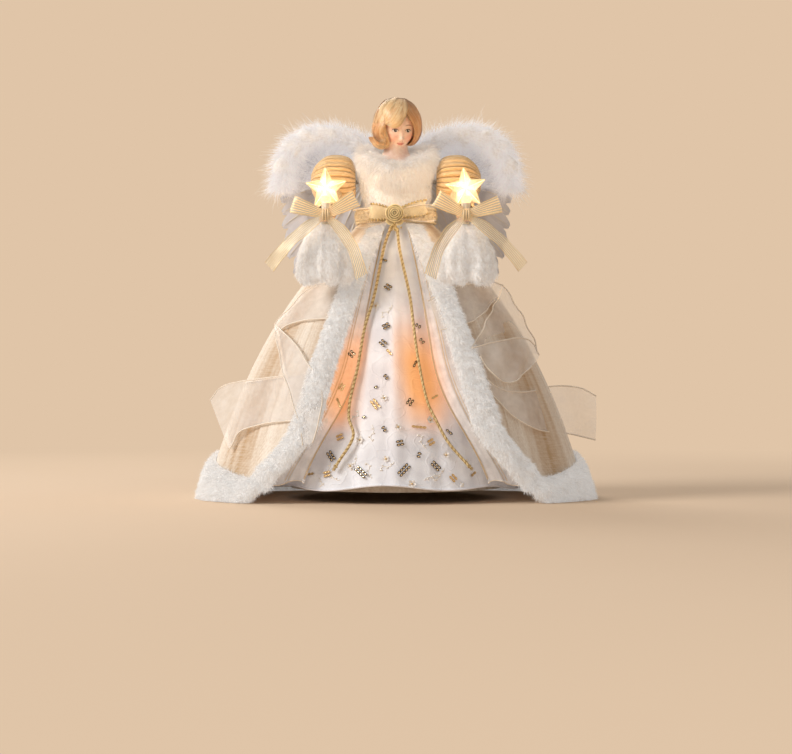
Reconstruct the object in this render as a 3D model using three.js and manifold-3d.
// Angel tree topper in millimetres, +Z up. The angel faces -Y and stands on its fur hem at z = 0.
// Left and right are the viewer's: left pieces lie at -X.
import * as THREE from "three";
import { mergeVertices } from "three/addons/utils/BufferGeometryUtils.js";
import Module from "manifold-3d";

const wasm = await Module();
wasm.setup();

// Clearances and cloth
const SEAT_GAP = 0.3;
const LAYER_GAP = 0.8;
const CLOTH = 1;
const SHEER = 0.5;
const PLUSH = 2.5;

// Cone over the tree's top shoot
const CONE_RIM_RADIUS = 80;
const CONE_RIM_Z = 8;
const CONE_TOP_RADIUS = 15;
const CONE_TOP_Z = 192;
const CONE_WALL = 1.6;

// Torso, an ellipse that widens from waist to shoulder
const WAIST_Z = 210;
const WAIST_HALF_WIDTH = 21;
const WAIST_HALF_DEPTH = 16;
const SHOULDER_Z = 250;
const SHOULDER_HALF_WIDTH = 28;
const SHOULDER_HALF_DEPTH = 17;
const TORSO_PLUG = 10;

// Skirts: ease is how far each hem stands out from the cone's rim
const SKIRT_BELL = 1.5;
const UNDERSKIRT_HEM_Z = 11;
const UNDERSKIRT_SIDE_EASE = 14;
const UNDERSKIRT_FRONT_EASE = 18;
const UNDERSKIRT_BACK_EASE = 3;
const UNDERSKIRT_FOLD = 3;
const UNDERSKIRT_FOLDS = 10;
const SHEER_HEM_Z = 15;
const SHEER_FRONT_ANGLE = 0.38;
const ROBE_HEM_Z = 3;
const ROBE_SIDE_FLARE = 48;
const ROBE_FLARE_REACH = 0.4;
const ROBE_FOLD = 2.4;
const ROBE_FOLDS = 14;
const ROBE_TOP_ANGLE = 0.56;
const ROBE_HEM_ANGLE = 0.7;
const ROBE_CORNER_Z = 60;
const ROBE_CORNER_SWEEP = 0.24;
const SIDE_SEAM_ANGLE = 1.78;

// Fur on the robe
const TRIM_TOP_Z = 202;
const TRIM_TOP_HALF_WIDTH = 6;
const TRIM_HEM_HALF_WIDTH = 10;
const TRIM_BULGE = 7;
const HEM_FUR_TOP_Z = 33;
const HEM_FUR_FRONT_Z = 18;
const HEM_FUR_RISE_ANGLES = [0.95, 1.6];
const HEM_FUR_BULGE = 6;

// Waist dressing
const BAND_BOTTOM_Z = 207.5;
const BAND_HEIGHT = 12;
const BAND_THICKNESS = 1.6;
const BOW_REACH = 27;
const BOW_WIDTH = 10;
const ROSE_RADIUS = 7.5;
const ROSE_DEPTH = 6;
const CORD_RADIUS = 1.2;

// Arms, drawn for the right side and mirrored for the left
const ARM_Z = 240;
const ARM_WIRE_RADIUS = 1.5;
const ARM_WIRE_ROOT_X = 12;
const PUFF_RADIUS = 20;
const PUFF_LENGTH = 33;
const PUFF_PLEATS = 8;
const PUFF_PLEAT_DEPTH = 1.2;
const FOREARM_RADIUS = 10;
const HAND_X = 51;
const HAND_REACH = 62;
const HAND_Z = 210;
const HAND_RADIUS = 6;
const CUFF_LENGTH = 46;
const CUFF_HALF_WIDTH = 21;
const CUFF_HALF_DEPTH = 11;
const CUFF_FOLDS = 6;
const CUFF_FOLD_DEPTH = 2.4;

// Push-in lamps, and the stars over two of them
const SOCKET_RADIUS = 3.4;
const SOCKET_LENGTH = 14;
const SOCKET_FOOT = 1.6;
const BULB_RADIUS = 2.1;
const BULB_LENGTH = 18;
const BULB_SEAT_DEPTH = 8;
const STAR_TIP_RADIUS = 15.5;
const STAR_NOTCH_RADIUS = 7.2;
const STAR_HALF_DEPTH = 6;
const STAR_WALL = 1.2;
const SKIRT_LAMP_Z = 100;
const SKIRT_LAMP_PROUD = 0.5;
const SKIRT_LAMP_ANGLES = [-0.5, 0.35, 2.3, -2.3];

// Gold ribbon bow under each star
const GIFT_BOW_REACH = 25;
const GIFT_RIBBON_WIDTH = 9;
const GIFT_RIBBON = 0.8;
const GIFT_TAIL_OUT = [41, -38];
const GIFT_TAIL_IN = [-26, -45];

// Head
const NECK_RADIUS = 8.5;
const HEAD_Z = 281;
const HEAD_HALF_WIDTH = 12.5;
const HEAD_HALF_DEPTH = 15.5;
const HEAD_HALF_HEIGHT = 18.5;
const HEAD_FORWARD = 3;
const HAIR_THICKNESS = 4.5;
const COLLAR_HALF_WIDTH = 25;
const COLLAR_HALF_DEPTH = 19;
const COLLAR_RADIUS = 9;

// Wings
const WING_Y = 34;
const WING_WIRE_RADIUS = 1.2;
const WING_ROOT_X = 9;
const WING_SPAN = 82;
const WING_RISE = 33;
const BRACKET_BOTTOM_Z = 226;
const BRACKET_HEIGHT = 20;
const BRACKET_HALF_WIDTH = 13.5;
const FEATHER_BOARD = 2;
const FEATHER_LENGTHS = [71, 75, 84, 97, 88, 54];
const FEATHER_FIRST_ANGLE = -0.08;
const FEATHER_LAST_ANGLE = -1.35;
const MARABOU_RADIUS = 15;
const MARABOU_HALF_DEPTH = 6;

// Organza ribbon on the robe
const RIBBON_WIDTH = 30;

const { sin, cos, PI, hypot, sqrt, abs, min, max, asin } = Math;
const vec = (x, y, z) => new THREE.Vector3(x, y, z);
const lerp = THREE.MathUtils.lerp;

const paint = (color, roughness, metalness = 0) =>
  new THREE.MeshStandardMaterial({ color, roughness, metalness });

const group = new THREE.Group();
group.name = "angel_tree_topper";

// A closed geometry from points and triangles, turned so that its faces look outward.
function closed(points, triangles) {
  let volume = 0;
  for (const [a, b, c] of triangles) volume += points[a].dot(points[b].clone().cross(points[c]));
  const faces = volume < 0 ? triangles.map(([a, b, c]) => [a, c, b]) : triangles;
  const geometry = new THREE.BufferGeometry().setFromPoints(points);
  geometry.setIndex(faces.flat());
  geometry.computeVertexNormals();
  return geometry;
}

// A solid through closed rings of equal count: capped at both ends, or joined end to end as a hoop.
function loft(rings, hoop = false) {
  const count = rings[0].length;
  const points = rings.flat();
  const triangles = [];
  const spans = hoop ? rings.length : rings.length - 1;
  for (let i = 0; i < spans; i++) {
    for (let j = 0; j < count; j++) {
      const low = i * count;
      const high = ((i + 1) % rings.length) * count;
      const next = (j + 1) % count;
      triangles.push([low + j, low + next, high + next], [low + j, high + next, high + j]);
    }
  }
  if (!hoop) {
    for (const [ring, start] of [[rings[0], 0], [rings.at(-1), (rings.length - 1) * count]]) {
      const centre = points.length;
      points.push(ring.reduce((sum, p) => sum.add(p), vec(0, 0, 0)).divideScalar(count));
      for (let j = 0; j < count; j++) {
        const next = (j + 1) % count;
        const face = [centre, start + next, start + j];
        triangles.push(start ? [centre, start + j, start + next] : face);
      }
    }
  }
  return closed(points, triangles);
}

// A sheet between two surfaces, each a function of u across and v along, from 0 to 1.
function sheet(outer, inner, across, along, wraps = false) {
  const columns = wraps ? across : across + 1;
  const points = [];
  for (const surface of [outer, inner]) {
    for (let j = 0; j <= along; j++) {
      for (let i = 0; i < columns; i++) points.push(surface(i / across, j / along));
    }
  }
  const at = (side, i, j) => side * columns * (along + 1) + j * columns + (i % columns);
  const triangles = [];
  const quad = (a, b, c, d) => triangles.push([a, b, c], [a, c, d]);
  for (let i = 0; i < across; i++) {
    for (let j = 0; j < along; j++) {
      quad(at(0, i, j), at(0, i + 1, j), at(0, i + 1, j + 1), at(0, i, j + 1));
      quad(at(1, i, j), at(1, i, j + 1), at(1, i + 1, j + 1), at(1, i + 1, j));
    }
    quad(at(0, i, 0), at(1, i, 0), at(1, i + 1, 0), at(0, i + 1, 0));
    quad(at(0, i, along), at(0, i + 1, along), at(1, i + 1, along), at(1, i, along));
  }
  if (!wraps) {
    for (let j = 0; j < along; j++) {
      quad(at(0, 0, j), at(0, 0, j + 1), at(1, 0, j + 1), at(1, 0, j));
      quad(at(0, across, j), at(1, across, j), at(1, across, j + 1), at(0, across, j + 1));
    }
  }
  return closed(points, triangles);
}

// A round bar along a curve.
function bar(curve, radius, steps, sides = 6) {
  const outline = [];
  for (let i = 0; i < sides; i++) {
    outline.push(new THREE.Vector2(radius * cos((2 * PI * i) / sides), radius * sin((2 * PI * i) / sides)));
  }
  return new THREE.ExtrudeGeometry(new THREE.Shape(outline), { steps, extrudePath: curve });
}

// A flat plate in the XZ plane, its front face at y and its depth towards +Y.
function plate(shape, y, depth, curveSegments = 6) {
  const geometry = new THREE.ExtrudeGeometry(shape, { depth, bevelEnabled: false, curveSegments });
  return geometry.rotateX(PI / 2).translate(0, y + depth, 0);
}

function ellipseRing(z, halfWidth, halfDepth, { x = 0, y = 0, sides = 20, folds = 0, fold = 0 } = {}) {
  const ring = [];
  for (let i = 0; i < sides; i++) {
    const angle = (2 * PI * i) / sides;
    const grow = fold * cos(folds * angle);
    ring.push(vec(x + (halfWidth + grow) * cos(angle), y + (halfDepth + grow) * sin(angle), z));
  }
  return ring;
}

function turned(profile, sides) {
  return new THREE.LatheGeometry(profile.map(([r, z]) => new THREE.Vector2(r, z)), sides).rotateX(PI / 2);
}

function ellipsoid(centre, halfWidth, halfDepth, halfHeight, across = 10, up = 7) {
  const ball = new THREE.SphereGeometry(1, across, up).rotateX(PI / 2);
  return ball.scale(halfWidth, halfDepth, halfHeight).translate(centre.x, centre.y, centre.z);
}

function toSolid(geometry) {
  const bare = geometry.index ? geometry.toNonIndexed() : geometry.clone();
  bare.deleteAttribute("normal");
  bare.deleteAttribute("uv");
  const merged = mergeVertices(bare, 1e-4);
  const vertProperties = merged.attributes.position.array;
  const triVerts = new Uint32Array(merged.index.array);
  return new wasm.Manifold(new wasm.Mesh({ numProp: 3, vertProperties, triVerts }));
}

function toGeometry(solid) {
  const mesh = solid.getMesh();
  const geometry = new THREE.BufferGeometry();
  geometry.setAttribute("position", new THREE.BufferAttribute(new Float32Array(mesh.vertProperties), 3));
  geometry.setIndex(Array.from(mesh.triVerts));
  const faceted = geometry.toNonIndexed();
  faceted.computeVertexNormals();
  return faceted;
}

const joined = (...geometries) => toGeometry(geometries.map(toSolid).reduce((a, b) => a.add(b)));
const cut = (geometry, ...tools) =>
  toGeometry(tools.map(toSolid).reduce((a, b) => a.subtract(b), toSolid(geometry)));

function add(parent, name, geometry, material) {
  const mesh = new THREE.Mesh(geometry, material.clone());
  mesh.name = name;
  parent.add(mesh);
  return mesh;
}

const white = paint(0xf2ece4, 0.95);
const champagne = paint(0xc8a878, 0.7);
const organza = paint(0xe9d6bd, 0.5);
const gold = paint(0xb48a45, 0.4, 0.6);
const skin = paint(0xe3b592, 0.45);
const plastic = paint(0xe8e4da, 0.5);
const wire = paint(0x9a9a96, 0.4, 0.8);
const glow = paint(0xf6e7b0, 0.25);

// Cone with lamp holes
const coneSlope = (CONE_RIM_RADIUS - CONE_TOP_RADIUS) / (CONE_TOP_Z - CONE_RIM_Z);
const coneRadius = (z) => CONE_RIM_RADIUS - coneSlope * (z - CONE_RIM_Z);
const coneTilt = Math.atan(coneSlope);

function lampPlace(angle) {
  const place = new THREE.Group();
  const radius = coneRadius(SKIRT_LAMP_Z) - CONE_WALL - SEAT_GAP;
  place.position.set(radius * sin(angle), -radius * cos(angle), SKIRT_LAMP_Z);
  place.rotation.set(PI / 2 - coneTilt, 0, angle, "ZXY");
  place.updateMatrixWorld();
  return place;
}

const cylinder = (radius, low, high, sides) =>
  turned([[0, low], [radius, low], [radius, high], [0, high]], sides);

const conePoint = (inset) => (u, v) => {
  const z = lerp(CONE_RIM_Z, CONE_TOP_Z, v);
  const angle = 2 * PI * u;
  const radius = coneRadius(z) - inset;
  return vec(radius * sin(angle), -radius * cos(angle), z);
};
const lampHole = cylinder(SOCKET_RADIUS + SEAT_GAP, -SOCKET_LENGTH, SOCKET_LENGTH, 8);
const lampHoles = SKIRT_LAMP_ANGLES.map((angle) => lampHole.clone().applyMatrix4(lampPlace(angle).matrixWorld));
const coneShell = sheet(conePoint(0), conePoint(CONE_WALL), 32, 1, true);
add(group, "cone", cut(coneShell, ...lampHoles), paint(0xe9e2d2, 0.6));

// Push-in lamp: its socket stands on the origin with a foot below it, and the bulb stands in it
function socketSolid() {
  const bore = BULB_RADIUS + SEAT_GAP;
  const floor = SOCKET_LENGTH - BULB_SEAT_DEPTH - SEAT_GAP;
  const profile = [[0, -SOCKET_FOOT], [SOCKET_RADIUS, -SOCKET_FOOT], [SOCKET_RADIUS, SOCKET_LENGTH]];
  profile.push([bore, SOCKET_LENGTH], [bore, floor], [0, floor]);
  return turned(profile, 8);
}

function bulbSolid() {
  const low = SOCKET_LENGTH - BULB_SEAT_DEPTH;
  const high = low + BULB_LENGTH;
  const profile = [[0, low], [BULB_RADIUS, low], [BULB_RADIUS, high - 3], [BULB_RADIUS * 0.6, high - 0.8]];
  profile.push([0, high]);
  return turned(profile, 8);
}

SKIRT_LAMP_ANGLES.forEach((angle, i) => {
  const place = lampPlace(angle);
  place.translateZ(CONE_WALL + SEAT_GAP + SKIRT_LAMP_PROUD - SOCKET_LENGTH);
  add(place, `skirt_socket_${i + 1}`, socketSolid(), plastic);
  add(place, `skirt_bulb_${i + 1}`, bulbSolid(), glow);
  group.add(place);
});

// Torso plugged into the cone, with a hole for each arm wire
const torsoWidth = (z) => lerp(WAIST_HALF_WIDTH, SHOULDER_HALF_WIDTH, (z - WAIST_Z) / (SHOULDER_Z - WAIST_Z));
const torsoDepth = (z) => lerp(WAIST_HALF_DEPTH, SHOULDER_HALF_DEPTH, (z - WAIST_Z) / (SHOULDER_Z - WAIST_Z));
const plugRadius = CONE_TOP_RADIUS - CONE_WALL - SEAT_GAP;
const torsoFoot = CONE_TOP_Z + SEAT_GAP;
const torsoRings = [
  ellipseRing(CONE_TOP_Z - TORSO_PLUG, plugRadius, plugRadius),
  ellipseRing(torsoFoot, plugRadius, plugRadius),
  ellipseRing(torsoFoot, WAIST_HALF_WIDTH, WAIST_HALF_DEPTH),
  ellipseRing(WAIST_Z, WAIST_HALF_WIDTH, WAIST_HALF_DEPTH),
  ellipseRing(SHOULDER_Z, SHOULDER_HALF_WIDTH, SHOULDER_HALF_DEPTH),
];
const armHole = cylinder(ARM_WIRE_RADIUS + SEAT_GAP, ARM_WIRE_ROOT_X - SEAT_GAP, 3 * SHOULDER_HALF_WIDTH, 8);
armHole.rotateY(PI / 2).translate(0, 0, ARM_Z);
const otherArmHole = armHole.clone().rotateZ(PI);
add(group, "torso", cut(loft(torsoRings), armHole, otherArmHole), plastic);

const bodicePoint = (offset) => (u, v) => {
  const z = lerp(WAIST_Z + 2, SHOULDER_Z - 1, v);
  const angle = 2 * PI * u;
  return vec((torsoWidth(z) + offset) * sin(angle), -(torsoDepth(z) + offset) * cos(angle), z);
};
const bodice = sheet(bodicePoint(SEAT_GAP + PLUSH), bodicePoint(SEAT_GAP), 20, 2, true);
add(group, "bodice", cut(bodice, armHole, otherArmHole), white);

// Skirts in polar form: angle 0 is the front
const polar = (radius, angle, z) => vec(radius * sin(angle), -radius * cos(angle), z);
const fall = (z) => max(0, (WAIST_Z - z) / WAIST_Z);
const bell = (z) => (fall(z) * (1 + SKIRT_BELL)) / (fall(z) + SKIRT_BELL);
const ellipseRadius = (angle, side, depth) => 1 / hypot(sin(angle) / side, cos(angle) / depth);
const wave = (angle, count) => 0.5 + 0.5 * cos(count * angle);

function underskirtInner(angle, z) {
  const ease = cos(angle) > 0 ? UNDERSKIRT_FRONT_EASE : UNDERSKIRT_BACK_EASE;
  const side = CONE_RIM_RADIUS + UNDERSKIRT_SIDE_EASE;
  const hem = ellipseRadius(angle, side, CONE_RIM_RADIUS + ease);
  const waist = ellipseRadius(angle, WAIST_HALF_WIDTH + SEAT_GAP, WAIST_HALF_DEPTH + SEAT_GAP);
  const folds = UNDERSKIRT_FOLD * fall(z) * wave(angle, UNDERSKIRT_FOLDS);
  return lerp(waist, hem, bell(z)) + folds;
}
const underskirtOuter = (angle, z) => underskirtInner(angle, z) + CLOTH;
const sheerInner = (angle, z) => underskirtOuter(angle, z) + LAYER_GAP;
const robeFlare = (z) => ROBE_SIDE_FLARE * (1 - Math.exp(-fall(z) / ROBE_FLARE_REACH));
const robeEnvelope = (angle, z) =>
  sheerInner(angle, z) + SHEER + LAYER_GAP + robeFlare(z) * sin(angle) ** 2;
// The robe's front edges run straight down, then curve away to the sides near the hem
const cornerSweep = (z) =>
  ROBE_CORNER_SWEEP * THREE.MathUtils.smoothstep(ROBE_CORNER_Z - z, 0, ROBE_CORNER_Z);
const robeEdge = (z) => lerp(ROBE_TOP_ANGLE, ROBE_HEM_ANGLE, fall(z)) + cornerSweep(z);
const sheerSurface = (angle, z) => {
  const rise = THREE.MathUtils.smoothstep(abs(angle), SHEER_FRONT_ANGLE, robeEdge(z));
  return sheerInner(angle, z) + 0.9 * rise * robeFlare(z) * sin(angle) ** 2;
};
const robeInner = (angle, z) => robeEnvelope(angle, z) + ROBE_FOLD * fall(z) * wave(angle, ROBE_FOLDS);
const robeCrest = (angle, z) => robeEnvelope(angle, z) + ROBE_FOLD * fall(z) + CLOTH;
const robeOuter = (angle, z) => robeInner(angle, z) + CLOTH;

// Rows of points lie closer towards the waist, where the cloth curves most
const rowHeight = (low, high, v) => lerp(high, low, (1 - v) ** 2);

// A layer of cloth between two heights and two angles, each angle a function of height
function drape(inner, thickness, low, high, start, end, across, along) {
  const point = (outward) => (u, v) => {
    const z = rowHeight(low, high, v);
    const angle = lerp(start(z), end(z), u);
    return polar(inner(angle, z) + outward * thickness, angle, z);
  };
  return sheet(point(1), point(0), across, along);
}

const roundAbout = (inner, thickness, low, high, across, along) => {
  const point = (outward) => (u, v) => {
    const z = rowHeight(low, high, v);
    return polar(inner(2 * PI * u, z) + outward * thickness, 2 * PI * u, z);
  };
  return sheet(point(1), point(0), across, along, true);
};

const underskirt = roundAbout(underskirtInner, CLOTH, UNDERSKIRT_HEM_Z, WAIST_Z, 40, 5);
add(group, "underskirt", underskirt, paint(0xe6d8cb, 0.85));

const seam = (z) => SIDE_SEAM_ANGLE - SEAT_GAP / robeOuter(SIDE_SEAM_ANGLE, z);
const backSeam = (z) => SIDE_SEAM_ANGLE + SEAT_GAP / robeOuter(SIDE_SEAM_ANGLE, z);
const backPanel = drape(robeInner, CLOTH, ROBE_HEM_Z, WAIST_Z, backSeam, (z) => 2 * PI - backSeam(z), 27, 7);
add(group, "back_robe_panel", backPanel, champagne);

// Fur swells from its edges to its middle
const swell = (share) => 0.18 + 0.82 * sqrt(max(0, 1 - (2 * share - 1) ** 2));

// The roll round the hem is lower at the robe's front corners
const hemFurTop = (angle) => {
  const side = min(angle, 2 * PI - angle);
  const rise = THREE.MathUtils.smoothstep(side, ...HEM_FUR_RISE_ANGLES);
  return lerp(HEM_FUR_FRONT_Z, HEM_FUR_TOP_Z, rise);
};

function hemFur(start, end, across) {
  const point = (outward) => (u, v) => {
    const angle = lerp(start(v * HEM_FUR_FRONT_Z), end(v * HEM_FUR_FRONT_Z), u);
    const z = v * hemFurTop(angle);
    const thick = outward * HEM_FUR_BULGE * swell(0.25 + 0.75 * v);
    return polar(robeOuter(angle, z) + 2 * SEAT_GAP + thick, angle, z);
  };
  return sheet(point(1), point(0), across, 4);
}

function furTrim() {
  const point = (outward) => (u, v) => {
    const z = lerp(HEM_FUR_FRONT_Z + 2 * SEAT_GAP, TRIM_TOP_Z, v);
    const halfWidth = lerp(TRIM_HEM_HALF_WIDTH, TRIM_TOP_HALF_WIDTH, v);
    const angle = robeEdge(z) + ((2 * u - 1) * halfWidth) / robeOuter(robeEdge(z), z);
    const ends = min(1, 8 * (1 - v) + 0.3);
    const thick = outward * TRIM_BULGE * swell(u) * ends;
    return polar(robeOuter(angle, z) + 2 * SEAT_GAP + thick, angle, z);
  };
  return sheet(point(1), point(0), 6, 10);
}

add(group, "back_hem_fur", hemFur(backSeam, (z) => 2 * PI - backSeam(z), 27), white);

for (const [name, side] of [["left", -1], ["right", 1]]) {
  const half = new THREE.Group();
  half.scale.x = side;
  const panel = drape(robeInner, CLOTH, ROBE_HEM_Z, WAIST_Z, robeEdge, seam, 12, 7);
  const tucked = (z) => robeEdge(z) + 0.1;
  const sheer = drape(sheerSurface, SHEER, SHEER_HEM_Z, WAIST_Z, () => SHEER_FRONT_ANGLE, tucked, 6, 7);
  add(half, `${name}_robe_panel`, panel, champagne);
  add(half, `${name}_sheer_panel`, sheer, organza);
  add(half, `${name}_fur_trim`, furTrim(), white);
  add(half, `${name}_hem_fur`, hemFur((z) => robeEdge(z) - 0.06, seam, 12), white);
  group.add(half);
}

// Waist band over the tops of the skirts, the bow on it and the rose on the bow
const bandInner = (angle) => robeOuter(angle, BAND_BOTTOM_Z) + SEAT_GAP;
const bandTop = BAND_BOTTOM_Z + BAND_HEIGHT;
add(group, "waist_band", roundAbout(bandInner, BAND_THICKNESS, BAND_BOTTOM_Z, bandTop, 24, 1), gold);

// One loop of a bow as seen from above, from the knot at the origin out to +X
function loopShape(reach, depth, thickness) {
  const outline = (shape, inset) => {
    shape.moveTo(inset * 2, 0);
    shape.bezierCurveTo(reach * 0.4, -depth, reach - inset, -depth + inset, reach - inset, 0);
    shape.bezierCurveTo(reach - inset, depth - inset, reach * 0.4, depth, inset * 2, 0);
    return shape;
  };
  const shape = outline(new THREE.Shape(), 0);
  shape.holes.push(outline(new THREE.Path(), thickness));
  return shape;
}

function bowLoop(reach, depth, width, thickness, tilt) {
  const settings = { depth: width, bevelEnabled: false, curveSegments: 3 };
  const loop = new THREE.ExtrudeGeometry(loopShape(reach, depth, thickness), settings);
  return loop.translate(0, 0, -width / 2).rotateY(-tilt);
}

const knotDepth = 3;
const waistFront = -bandInner(0) - BAND_THICKNESS - SEAT_GAP - knotDepth;
const bowZ = BAND_BOTTOM_Z + BAND_HEIGHT / 2;
const waistLoop = bowLoop(BOW_REACH, knotDepth + 1, BOW_WIDTH, 0.8, 0.2);
const waistLoops = [waistLoop, waistLoop.clone().rotateZ(PI).rotateY(0.4)].map((g) => g.translate(0, -2, 0));
const knot = ellipsoid(vec(0, 0, 0), 5, knotDepth, BOW_WIDTH / 2, 8, 6);
const waistBow = joined(knot, ...waistLoops);
waistBow.translate(0, waistFront, bowZ);
const bandSolid = roundAbout(bandInner, BAND_THICKNESS + SEAT_GAP, BAND_BOTTOM_Z - 1, bandTop + 1, 24, 1);
add(group, "waist_bow", cut(waistBow, bandSolid), organza);

function roseSolid() {
  const petals = [ellipsoid(vec(0, 0, 0), ROSE_RADIUS * 0.55, ROSE_DEPTH, ROSE_RADIUS * 0.55, 8, 6)];
  for (let i = 0; i < 5; i++) {
    const angle = (2 * PI * i) / 5;
    const centre = vec(ROSE_RADIUS * 0.5 * sin(angle), 0.2 * ROSE_DEPTH, ROSE_RADIUS * 0.5 * cos(angle));
    petals.push(ellipsoid(centre, ROSE_RADIUS * 0.5, ROSE_DEPTH * 0.6, ROSE_RADIUS * 0.5, 8, 5));
  }
  return joined(...petals);
}
const roseY = waistFront - knotDepth - SEAT_GAP - ROSE_DEPTH;
add(group, "rose", roseSolid().translate(0, roseY, bowZ), gold);

// Gold cords: hand-chosen points across and up, as shares of the waist's height, laid on the skirt
const CORD_ROUTES = {
  left: [
    [-0.019, 0.967], [-0.043, 0.895], [-0.076, 0.724], [-0.11, 0.605], [-0.133, 0.467], [-0.157, 0.362],
    [-0.162, 0.295], [-0.148, 0.229], [-0.205, 0.133],
  ],
  right: [
    [0.005, 0.967], [0.014, 0.881], [0.048, 0.724], [0.062, 0.61], [0.076, 0.5], [0.105, 0.362],
    [0.133, 0.295], [0.181, 0.21], [0.248, 0.133],
  ],
};

function onSkirt([across, up]) {
  const x = across * WAIST_Z;
  const z = up * WAIST_Z;
  let angle = 0;
  let radius = 0;
  for (let i = 0; i < 6; i++) {
    radius = sheerSurface(angle, z) + SHEER + LAYER_GAP + CORD_RADIUS;
    angle = asin(x / radius);
  }
  return polar(radius, angle, z);
}

for (const [name, route] of Object.entries(CORD_ROUTES)) {
  const curve = new THREE.CatmullRomCurve3(route.map(onSkirt));
  add(group, `${name}_cord`, bar(curve, CORD_RADIUS, 20, 8), gold);
}

// Head, hair and collar
function plateSolid(grow) {
  const low = SHOULDER_Z + SEAT_GAP - grow;
  return loft([
    ellipseRing(low, SHOULDER_HALF_WIDTH - 4 + grow, SHOULDER_HALF_DEPTH - 2 + grow),
    ellipseRing(SHOULDER_Z + 5, SHOULDER_HALF_WIDTH - 9 + grow, SHOULDER_HALF_DEPTH - 4 + grow),
    ellipseRing(SHOULDER_Z + 9, NECK_RADIUS + 2 + grow, NECK_RADIUS + 1 + grow, { y: -1 }),
    ellipseRing(HEAD_Z - 8, NECK_RADIUS + grow, NECK_RADIUS + grow, { y: -2 }),
  ]);
}

const skullSolid = (grow) => {
  const size = [HEAD_HALF_WIDTH + grow, HEAD_HALF_DEPTH + grow, HEAD_HALF_HEIGHT + grow];
  return ellipsoid(vec(0, -HEAD_FORWARD, HEAD_Z), ...size, 16, 11);
};

const jawSolid = (grow) => {
  const size = [HEAD_HALF_WIDTH * 0.68 + grow, HEAD_HALF_DEPTH * 0.6 + grow, HEAD_HALF_HEIGHT * 0.5 + grow];
  const y = -HEAD_FORWARD - HEAD_HALF_DEPTH * 0.39;
  return ellipsoid(vec(0, y, HEAD_Z - HEAD_HALF_HEIGHT * 0.55), ...size, 12, 8);
};

function bustSolid() {
  const noseTip = vec(0, -HEAD_FORWARD - HEAD_HALF_DEPTH * 0.95, HEAD_Z - HEAD_HALF_HEIGHT * 0.27);
  const noseSize = [HEAD_HALF_WIDTH * 0.11, HEAD_HALF_DEPTH * 0.14, HEAD_HALF_HEIGHT * 0.15];
  const nose = ellipsoid(noseTip, ...noseSize, 8, 6);
  return joined(plateSolid(0), skullSolid(0), jawSolid(0), nose);
}
add(group, "head_bust", bustSolid(), skin);

function hairSolid() {
  const wide = HEAD_HALF_WIDTH + HAIR_THICKNESS;
  const deep = HEAD_HALF_DEPTH + HAIR_THICKNESS;
  const tall = HEAD_HALF_HEIGHT + HAIR_THICKNESS;
  const bobZ = HEAD_Z - 0.52 * tall;
  const bobSize = [0.3 * wide, 0.4 * deep, 0.43 * tall];
  const crown = ellipsoid(vec(0, -0.05 * deep, HEAD_Z + 0.02 * tall), wide, deep, tall, 16, 11);
  const nape = ellipsoid(vec(0, 0.35 * deep, bobZ), 0.85 * wide, 0.4 * deep, 0.43 * tall);
  const leftBob = ellipsoid(vec(-0.86 * wide, -0.15 * deep, bobZ), ...bobSize);
  const rightBob = ellipsoid(vec(0.84 * wide, -0.15 * deep, bobZ - 0.04 * tall), ...bobSize);
  const fringePlace = vec(-0.22 * wide, -0.8 * deep, HEAD_Z + 0.39 * tall);
  const fringe = ellipsoid(fringePlace, 0.65 * wide, 0.25 * deep, 0.26 * tall);
  const mass = joined(crown, nape, leftBob, rightBob, fringe);
  const facePlace = vec(0.08 * wide, -1.25 * deep, HEAD_Z - 0.35 * tall);
  const face = ellipsoid(facePlace, 0.62 * wide, 0.9 * deep, 0.61 * tall, 12, 8);
  return cut(mass, face, skullSolid(SEAT_GAP), jawSolid(SEAT_GAP), plateSolid(SEAT_GAP));
}
add(group, "hair", hairSolid(), paint(0xd9a86a, 0.5));

// The puff turns about the X axis, so what lies beside it is cut back by its widest sweep
const puffStart = SHOULDER_HALF_WIDTH + PLUSH + 2 * SEAT_GAP;
const PUFF_PROFILE = [[0, 0.45], [0.14, 0.8], [0.36, 1], [0.66, 0.96], [0.9, 0.66], [1, 0.36]];

function puffSolid(grow, pleats) {
  const rings = PUFF_PROFILE.map(([along, share]) => {
    const fold = { sides: pleats ? 4 * PUFF_PLEATS : 16, folds: PUFF_PLEATS, fold: pleats * share };
    const radius = PUFF_RADIUS * share + grow - pleats * share;
    return ellipseRing(puffStart - grow + along * (PUFF_LENGTH + 2 * grow), radius, radius, fold);
  });
  return loft(rings).rotateY(PI / 2).translate(0, 0, ARM_Z);
}

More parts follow.
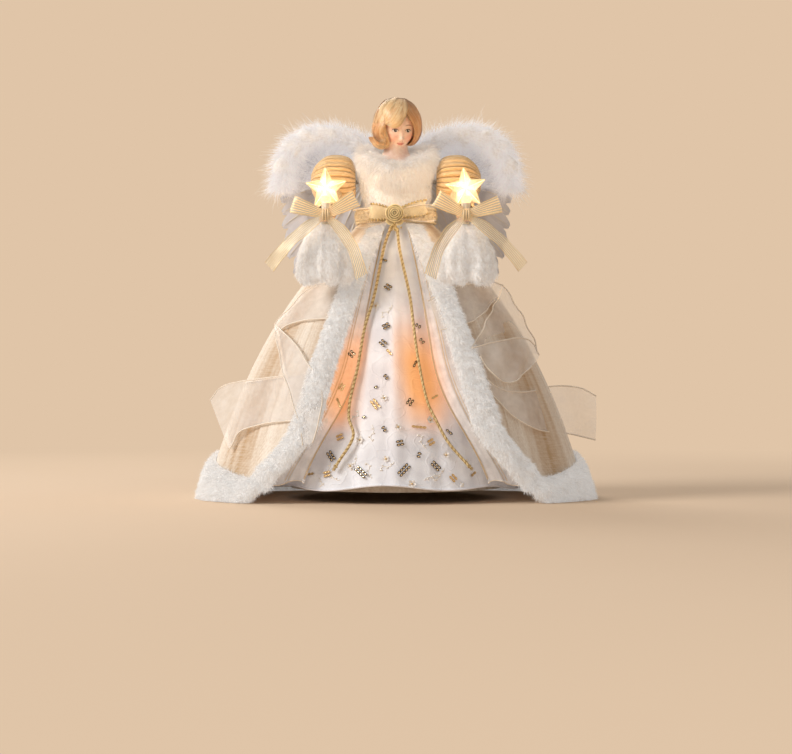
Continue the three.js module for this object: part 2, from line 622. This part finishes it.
function collarSolid() {
  const rings = [];
  for (let i = 0; i < 20; i++) {
    const angle = (2 * PI * i) / 20;
    const middle = polar(ellipseRadius(angle, COLLAR_HALF_WIDTH, COLLAR_HALF_DEPTH), angle, 0);
    const lean = COLLAR_RADIUS * (0.3 - 0.75 * cos(angle));
    const ring = [];
    for (let j = 0; j < 8; j++) {
      const turn = (2 * PI * j) / 8;
      const reach = 1 + (COLLAR_RADIUS * 0.8 * cos(turn)) / middle.length();
      const drop = cos(angle) > 0 ? 1 + 0.3 * cos(angle) : 1;
      const z = SHOULDER_Z + lean + COLLAR_RADIUS * drop * sin(turn);
      ring.push(vec(middle.x * reach, middle.y * reach, z));
    }
    rings.push(ring);
  }
  return loft(rings, true);
}
const bodiceKeep = loft([
  ellipseRing(WAIST_Z, torsoWidth(WAIST_Z) + PLUSH + 2 * SEAT_GAP, torsoDepth(WAIST_Z) + PLUSH + 2 * SEAT_GAP),
  ellipseRing(
    SHOULDER_Z + SEAT_GAP,
    SHOULDER_HALF_WIDTH + PLUSH + 2 * SEAT_GAP,
    SHOULDER_HALF_DEPTH + PLUSH + 2 * SEAT_GAP,
  ),
]);
const puffKeep = puffSolid(2 * SEAT_GAP, 0);
const hairKeep = ellipsoid(
  vec(0, -1, HEAD_Z - 4), HEAD_HALF_WIDTH + HAIR_THICKNESS + 6, HEAD_HALF_DEPTH + HAIR_THICKNESS + 3,
  HEAD_HALF_HEIGHT + HAIR_THICKNESS,
);
const collarTools = [plateSolid(SEAT_GAP), bodiceKeep, puffKeep, puffKeep.clone().rotateZ(PI), hairKeep];
add(group, "fur_collar", cut(collarSolid(), ...collarTools), white);

// One arm with its lamp, star and bow, then the other as its mirror image
const wristY = -HAND_REACH + HAND_RADIUS;
const armCurve = new THREE.CatmullRomCurve3([
  vec(ARM_WIRE_ROOT_X, 0, ARM_Z),
  vec((ARM_WIRE_ROOT_X + puffStart) / 2, 0, ARM_Z),
  vec(puffStart, 0, ARM_Z),
  vec(puffStart + PUFF_LENGTH * 0.3, 0, ARM_Z),
  vec(puffStart + PUFF_LENGTH * 0.66, -PUFF_RADIUS * 0.4, ARM_Z - PUFF_RADIUS * 0.4),
  vec(HAND_X, wristY * 0.6, lerp(ARM_Z, HAND_Z, 0.75)),
  vec(HAND_X, wristY, HAND_Z),
]);
const armWire = bar(armCurve, ARM_WIRE_RADIUS, 16);
const armBore = bar(armCurve, ARM_WIRE_RADIUS + SEAT_GAP, 16);

function forearmSolid(grow) {
  const start = vec(puffStart + PUFF_LENGTH * 0.55, -PUFF_RADIUS * 0.3, ARM_Z - PUFF_RADIUS * 0.3);
  const end = vec(HAND_X, wristY + HAND_RADIUS, HAND_Z + 3);
  const rings = [0, 0.5, 1].map((share) => {
    const ring = ellipseRing(0, FOREARM_RADIUS + grow, FOREARM_RADIUS + grow, { sides: 12 });
    const middle = start.clone().lerp(end, share);
    const taper = 1 - 0.25 * share;
    return ring.map((p) => vec(middle.x + p.x * taper, middle.y, middle.z + p.y * taper));
  });
  return loft(rings);
}

const lampY = -HAND_REACH - 2;
const socketFoot = HAND_Z - HAND_RADIUS * 0.9;
const socketKeep = cylinder(SOCKET_RADIUS + SEAT_GAP, socketFoot - SOCKET_FOOT - SEAT_GAP, socketFoot + 60, 8);
socketKeep.translate(HAND_X, lampY, 0);
const handSolid = (grow) =>
  ellipsoid(vec(HAND_X, -HAND_REACH, HAND_Z), HAND_RADIUS + grow, HAND_RADIUS + grow + 1, HAND_RADIUS + grow);

function cuffSolid() {
  const top = HAND_Z - HAND_RADIUS * 0.6;
  const rings = [[0, 0.25], [0.1, 0.5], [0.3, 0.8], [0.6, 1], [0.85, 0.96], [0.97, 0.8], [1, 0.55]];
  return loft(
    rings.map(([along, share]) =>
      ellipseRing(top - along * CUFF_LENGTH, CUFF_HALF_WIDTH * share, CUFF_HALF_DEPTH * share, {
        x: HAND_X, y: -HAND_REACH + 2, sides: 4 * CUFF_FOLDS, folds: CUFF_FOLDS, fold: CUFF_FOLD_DEPTH * share,
      }),
    ),
  );
}

// Two pyramids on a five-pointed outline, joined at its rim
function starSolid(inset) {
  const points = [vec(0, -STAR_HALF_DEPTH + inset, 0), vec(0, STAR_HALF_DEPTH - inset, 0)];
  for (let i = 0; i < 10; i++) {
    const radius = i % 2 ? STAR_NOTCH_RADIUS - inset : STAR_TIP_RADIUS - 2 * inset;
    const angle = (PI * i) / 5;
    points.push(vec(radius * sin(angle), 0, radius * cos(angle)));
  }
  const triangles = [];
  for (let i = 0; i < 10; i++) {
    const next = (i + 1) % 10;
    triangles.push([0, 2 + i, 2 + next], [1, 2 + next, 2 + i]);
  }
  return closed(points, triangles);
}

function starCover() {
  const centre = STAR_NOTCH_RADIUS + 3;
  const bore = BULB_RADIUS + 2 * SEAT_GAP;
  const neck = cylinder(bore + STAR_WALL, 0, centre, 8);
  const outside = joined(starSolid(0).translate(0, 0, centre), neck);
  const hollow = starSolid(STAR_WALL).translate(0, 0, centre);
  return cut(outside, hollow, cylinder(bore, -1, centre, 8));
}

function ribbonTail([dx, dz]) {
  const length = hypot(dx, dz);
  const strip = new THREE.BoxGeometry(length, GIFT_RIBBON, GIFT_RIBBON_WIDTH * 0.8);
  return strip.translate(length / 2, -2.4, 0).rotateY(-Math.atan2(dz, dx));
}

function giftBow() {
  const loop = bowLoop(GIFT_BOW_REACH, 3.5, GIFT_RIBBON_WIDTH, GIFT_RIBBON, 0.35);
  const otherLoop = loop.clone().rotateZ(PI).rotateY(0.3);
  const tie = ellipsoid(vec(0, 0, 0), 4, 3, 4, 8, 6);
  return joined(tie, loop, otherLoop, ribbonTail(GIFT_TAIL_OUT), ribbonTail(GIFT_TAIL_IN));
}
const bowY = -HAND_REACH - HAND_RADIUS - 1 - SEAT_GAP - 3;

for (const [name, side] of [["left", -1], ["right", 1]]) {
  const arm = new THREE.Group();
  arm.scale.x = side;
  const sleeve = joined(puffSolid(0, PUFF_PLEAT_DEPTH), forearmSolid(0));
  add(arm, `${name}_arm_wire`, armWire, wire);
  add(arm, `${name}_sleeve`, cut(sleeve, armBore), champagne);
  add(arm, `${name}_hand`, cut(handSolid(0), armBore, socketKeep), skin);
  const cuffTools = [armBore, forearmSolid(SEAT_GAP), handSolid(SEAT_GAP), socketKeep];
  add(arm, `${name}_cuff`, cut(cuffSolid(), ...cuffTools), white);
  const lamp = new THREE.Group();
  lamp.position.set(HAND_X, lampY, socketFoot);
  add(lamp, `${name}_star_socket`, socketSolid(), plastic);
  add(lamp, `${name}_star_bulb`, bulbSolid(), glow);
  add(lamp, `${name}_star`, starCover(), glow).position.z = SOCKET_LENGTH + SEAT_GAP;
  arm.add(lamp);
  add(arm, `${name}_bow`, giftBow(), gold).position.set(HAND_X, bowY, HAND_Z - 1);
  group.add(arm);
}

// Wings on a bracket behind the bodice
const bracketFront = torsoDepth(BRACKET_BOTTOM_Z + BRACKET_HEIGHT) + PLUSH + 2 * SEAT_GAP;
const bracketBack = WING_Y + WING_WIRE_RADIUS + 2.5;
const bracketShape = new THREE.Shape();
bracketShape.moveTo(-BRACKET_HALF_WIDTH, bracketFront + 6);
bracketShape.lineTo(-5, bracketFront);
bracketShape.lineTo(5, bracketFront);
bracketShape.lineTo(BRACKET_HALF_WIDTH, bracketFront + 6);
bracketShape.lineTo(BRACKET_HALF_WIDTH, bracketBack);
bracketShape.lineTo(-BRACKET_HALF_WIDTH, bracketBack);
for (const side of [-1, 1]) {
  const hole = new THREE.Path();
  hole.absarc(side * WING_ROOT_X, WING_Y, WING_WIRE_RADIUS + SEAT_GAP, 0, 2 * PI);
  bracketShape.holes.push(hole);
}
const bracket = new THREE.ExtrudeGeometry(bracketShape, { depth: BRACKET_HEIGHT, bevelEnabled: false });
add(group, "wing_bracket", bracket.translate(0, 0, BRACKET_BOTTOM_Z), plastic);

const bracketTop = BRACKET_BOTTOM_Z + BRACKET_HEIGHT;
const onWing = (out, up) => vec(WING_ROOT_X + out * WING_SPAN, WING_Y, bracketTop + up * WING_RISE);
const wingCurve = new THREE.CatmullRomCurve3([
  vec(WING_ROOT_X, WING_Y, bracketTop - 0.9 * BRACKET_HEIGHT),
  vec(WING_ROOT_X, WING_Y, bracketTop - 0.4 * BRACKET_HEIGHT),
  onWing(0, 0),
  onWing(0.025, 0.27),
  onWing(0.21, 0.76),
  onWing(0.62, 1),
  onWing(0.93, 0.6),
  onWing(1, -0.24),
]);
const wingWire = bar(wingCurve, WING_WIRE_RADIUS, 22);
const wingBore = bar(wingCurve, WING_WIRE_RADIUS + SEAT_GAP, 22);

// Feathers fan out and down from the root; the first tip ends the leading edge
function featherShape() {
  const flat = ({ x, z }) => new THREE.Vector2(x, z);
  const root = flat(onWing(0.11, 0.06));
  const last = FEATHER_LENGTHS.length - 1;
  const at = (index, length) => {
    const angle = lerp(FEATHER_FIRST_ANGLE, FEATHER_LAST_ANGLE, index / last);
    return new THREE.Vector2(root.x + length * cos(angle), root.y + length * sin(angle));
  };
  const tips = FEATHER_LENGTHS.map((length, i) => at(i, length));
  const [rise, crest, fold] = [onWing(0.256, 0.67), onWing(0.57, 1.21), onWing(1.06, 1.09)].map(flat);
  const shape = new THREE.Shape([root, rise]);
  shape.bezierCurveTo(crest.x, crest.y, fold.x, fold.y, tips[0].x, tips[0].y);
  for (let i = 1; i <= last; i++) {
    const notch = at(i - 0.5, 0.84 * min(FEATHER_LENGTHS[i - 1], FEATHER_LENGTHS[i]));
    const low = at(i - 0.8, 0.98 * FEATHER_LENGTHS[i - 1]);
    const high = at(i - 0.3, 0.98 * FEATHER_LENGTHS[i]);
    shape.quadraticCurveTo(low.x, low.y, notch.x, notch.y);
    shape.quadraticCurveTo(high.x, high.y, tips[i].x, tips[i].y);
  }
  return shape;
}
const feathers = plate(featherShape(), WING_Y + WING_WIRE_RADIUS + SEAT_GAP, FEATHER_BOARD, 4);

function marabouSolid() {
  const shares = [[0.34, 0.4], [0.42, 0.7], [0.55, 0.95], [0.7, 1], [0.84, 1], [0.95, 0.8], [1, 0.4]];
  const rings = shares.map(([along, share]) => {
    const ahead = wingCurve.getTangentAt(along);
    const middle = wingCurve.getPointAt(along).addScaledVector(ahead, along < 1 ? 0 : 4);
    const out = vec(ahead.z, 0, -ahead.x).multiplyScalar(-MARABOU_RADIUS * share);
    const ring = [];
    for (let j = 0; j < 10; j++) {
      const turn = (2 * PI * j) / 10;
      const depth = -MARABOU_HALF_DEPTH + MARABOU_HALF_DEPTH * (0.5 + 0.5 * share) * sin(turn);
      const p = middle.clone().addScaledVector(out, cos(turn));
      ring.push(p.setY(WING_Y + WING_WIRE_RADIUS + depth));
    }
    return ring;
  });
  return loft(rings);
}
const marabou = cut(marabouSolid(), wingBore);

for (const [name, side] of [["left", -1], ["right", 1]]) {
  const wing = new THREE.Group();
  wing.scale.x = side;
  add(wing, `${name}_wing_wire`, wingWire, wire);
  add(wing, `${name}_feathers`, feathers, paint(0xdcd6d2, 0.8));
  add(wing, `${name}_marabou`, marabou, white);
  group.add(wing);
}

// Organza ribbon: points given by angle round the robe in degrees, height as a share of the waist's, and
// how far the ribbon stands off the robe as a share of its width
const RIBBONS = {
  left_ribbon_loop: [
    [-44, 0.695, 0.3], [-56, 0.676, 0.23], [-68, 0.643, 0.067], [-77, 0.605, -0.01], [-88, 0.533, 0.27],
  ],
  left_ribbon_tail: [
    [-42, 0.467, 0.3], [-48, 0.41, 0.3], [-60, 0.371, 0.133], [-73, 0.357, -0.03], [-83, 0.333, 0.3],
    [-87, 0.295, 0.62],
  ],
  right_ribbon_loop: [
    [40, 0.676, 0.3], [54, 0.681, 0.23], [68, 0.648, 0.007], [80, 0.581, 0.033], [84, 0.495, 0.133],
  ],
  right_ribbon_tail: [
    [44, 0.514, 0.3], [50, 0.429, 0.3], [60, 0.362, 0.133], [73, 0.348, -0.036], [83, 0.333, 0.3],
    [87, 0.305, 0.72],
  ],
};

function ribbonSolid(route) {
  const points = route.map(([degrees, up, off]) => {
    const angle = THREE.MathUtils.degToRad(degrees);
    const z = up * WAIST_Z;
    return polar(robeCrest(angle, z) + off * RIBBON_WIDTH, angle, z);
  });
  const curve = new THREE.CatmullRomCurve3(points);
  const point = (outward) => (u, v) => {
    const middle = curve.getPointAt(v);
    const ahead = curve.getTangentAt(v);
    const away = vec(middle.x, middle.y, hypot(middle.x, middle.y) * 0.4).normalize();
    const across = away.clone().cross(ahead).normalize();
    const normal = ahead.clone().cross(across).normalize();
    const facing = normal.dot(away) > 0 ? 1 : -1;
    const place = middle.addScaledVector(across, (u - 0.5) * RIBBON_WIDTH);
    return place.addScaledVector(normal, facing * (outward + 1) * SHEER);
  };
  return sheet(point(1), point(0), 2, 10);
}
for (const [name, route] of Object.entries(RIBBONS)) add(group, name, ribbonSolid(route), organza);

export default group;
